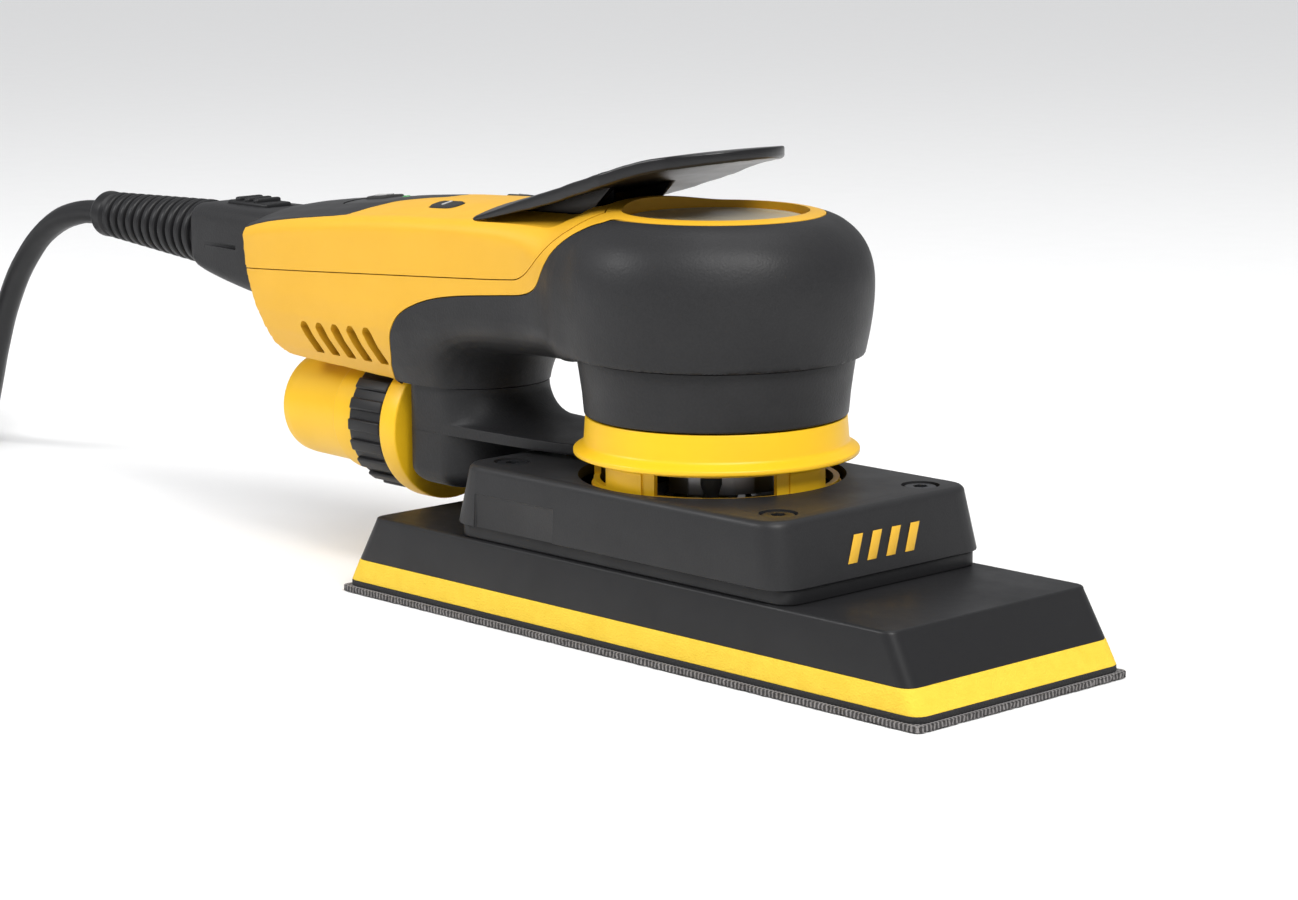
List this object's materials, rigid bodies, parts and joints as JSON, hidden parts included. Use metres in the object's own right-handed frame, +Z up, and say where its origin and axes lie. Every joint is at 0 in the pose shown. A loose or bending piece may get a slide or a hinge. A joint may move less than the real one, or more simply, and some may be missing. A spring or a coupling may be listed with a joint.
{
  "type": "orbital sander",
  "caption": "Corded orbital sander with a long rectangular pad, a round palm grip, a paddle lever on top, a rear dust port and a ribbed cable boot.",
  "frame": {"origin": "on the spindle axis, at the lower face of the abrasive sheet", "axes": "+Z up along the spindle, +X forwards, away from the cable, along the length of the pad"},
  "size_m": [0.5728, 0.116, 0.1188],
  "materials": {
    "body_yellow": "satin amber yellow moulding",
    "grip_black": "soft black overmould with a fine leathery grain",
    "cover_black": "satin black moulding with a fine grain",
    "button_rubber": "soft black rubber",
    "cord_rubber": "smooth black rubber",
    "pad_black": "satin black moulding",
    "foam_yellow": "lemon yellow foam with fine open cells",
    "hook_fabric": "black hooks",
    "abrasive_grey": "grey coated net",
    "label": "pale plate without lettering",
    "lamp": "small clear green lens",
    "board_green": "lacquered green board",
    "steel": "ground steel",
    "dark_steel": "dark coated steel",
    "copper": "enamelled copper wire",
    "plated": "nickel plated",
    "leg_rubber": "firm black rubber"
  },
  "bodies": {
    "body": {"upper_shell": "body_yellow", "lower_shell": "body_yellow", "grip_overmould": "grip_black", "head_skirt": "grip_black", "collar": "body_yellow", "motor_bracket": "dark_steel", "dust_duct": "grip_black", "rear_cover": "cover_black", "control_panel": "cover_black", "status_led": "lamp", "rating_plate": "label", "duct_flange": "body_yellow", "port_seal": "button_rubber", "circuit_board": "board_green", "motor_stator": "dark_steel", "motor_windings": "copper", "upper_bearing_outer": "steel", "lower_bearing_outer": "steel", "lever_pin": "steel", "lever_spring": "steel", "lever_switch": "cover_black", "inlet_socket": "cover_black", "cable_connector": "cover_black", "cable_boot": "cord_rubber", "mains_cord": "cord_rubber", "cord_coil": "cord_rubber", "cord_tie": "cover_black", "mains_plug": "cover_black", "plug_pins": "plated"},
    "rotor": {"motor_shaft": "steel", "rotor_core": "dark_steel", "fan": "cover_black", "counterweight": "dark_steel", "upper_bearing_inner": "steel", "lower_bearing_inner": "steel", "eccentric_bearing_inner": "steel"},
    "pad": {"pad_housing": "pad_black", "pad_spacer": "pad_black", "pad_plate": "pad_black", "pad_foam": "foam_yellow", "hook_layer": "hook_fabric", "abrasive_sheet": "abrasive_grey", "eccentric_bearing_outer": "steel", "housing_screw_1": "dark_steel", "housing_screw_2": "dark_steel", "housing_screw_3": "dark_steel", "housing_screw_4": "dark_steel", "swing_leg_1": "leg_rubber", "swing_leg_2": "leg_rubber", "swing_leg_3": "leg_rubber", "swing_leg_4": "leg_rubber"},
    "lever": {"power_lever": "cover_black"},
    "on_off_button": {"on_off_button": "button_rubber"},
    "speed_down_button": {"speed_down_button": "button_rubber"},
    "speed_up_button": {"speed_up_button": "button_rubber"},
    "swivel_ring": {"swivel_ring": "button_rubber"},
    "dust_port": {"dust_port": "body_yellow"},
    "cable_latch": {"cable_latch": "cover_black"}
  },
  "joints": [
    {"name": "spindle_spin", "type": "hinge", "parent": "body", "child": "rotor", "pos_m": [0, 0, 0], "axis": [0, 0, 1], "continuous": true},
    {"name": "pad_orbit", "type": "hinge", "parent": "rotor", "child": "pad", "pos_m": [-0.0015, 0, 0], "axis": [0, 0, 1], "continuous": true},
    {"name": "lever_press", "type": "hinge", "parent": "body", "child": "lever", "pos_m": [-0.058, 0, 0.0952], "axis": [0, 1, 0], "range_deg": [0, 6], "stiffness_Nm_per_rad": 4, "springref_deg": -5.73, "deforming": ["lever_spring"]},
    {"name": "on_off_press", "type": "slide", "parent": "body", "child": "on_off_button", "axis": [0, 0, -1], "range_m": [0, 0.0008], "stiffness_N_per_m": 400, "springref_m": -0.001},
    {"name": "speed_down_press", "type": "slide", "parent": "body", "child": "speed_down_button", "axis": [0, 0, -1], "range_m": [0, 0.0008], "stiffness_N_per_m": 400, "springref_m": -0.001},
    {"name": "speed_up_press", "type": "slide", "parent": "body", "child": "speed_up_button", "axis": [0, 0, -1], "range_m": [0, 0.0008], "stiffness_N_per_m": 400, "springref_m": -0.001},
    {"name": "ring_turn", "type": "hinge", "parent": "body", "child": "swivel_ring", "pos_m": [-0.113, 0, 0.039], "axis": [-1, 0, 0], "range_deg": [0, 60]},
    {"name": "port_swivel", "type": "hinge", "parent": "body", "child": "dust_port", "pos_m": [-0.13, 0, 0.039], "axis": [-1, 0, 0], "continuous": true},
    {"name": "latch_press", "type": "slide", "parent": "body", "child": "cable_latch", "axis": [0, 0, -1], "range_m": [0, 0.0011], "stiffness_N_per_m": 1500, "springref_m": -0.001}
  ],
  "couplings": [
    {"joint": "pad_orbit", "follows": "spindle_spin", "ratio": -1}
  ]
}
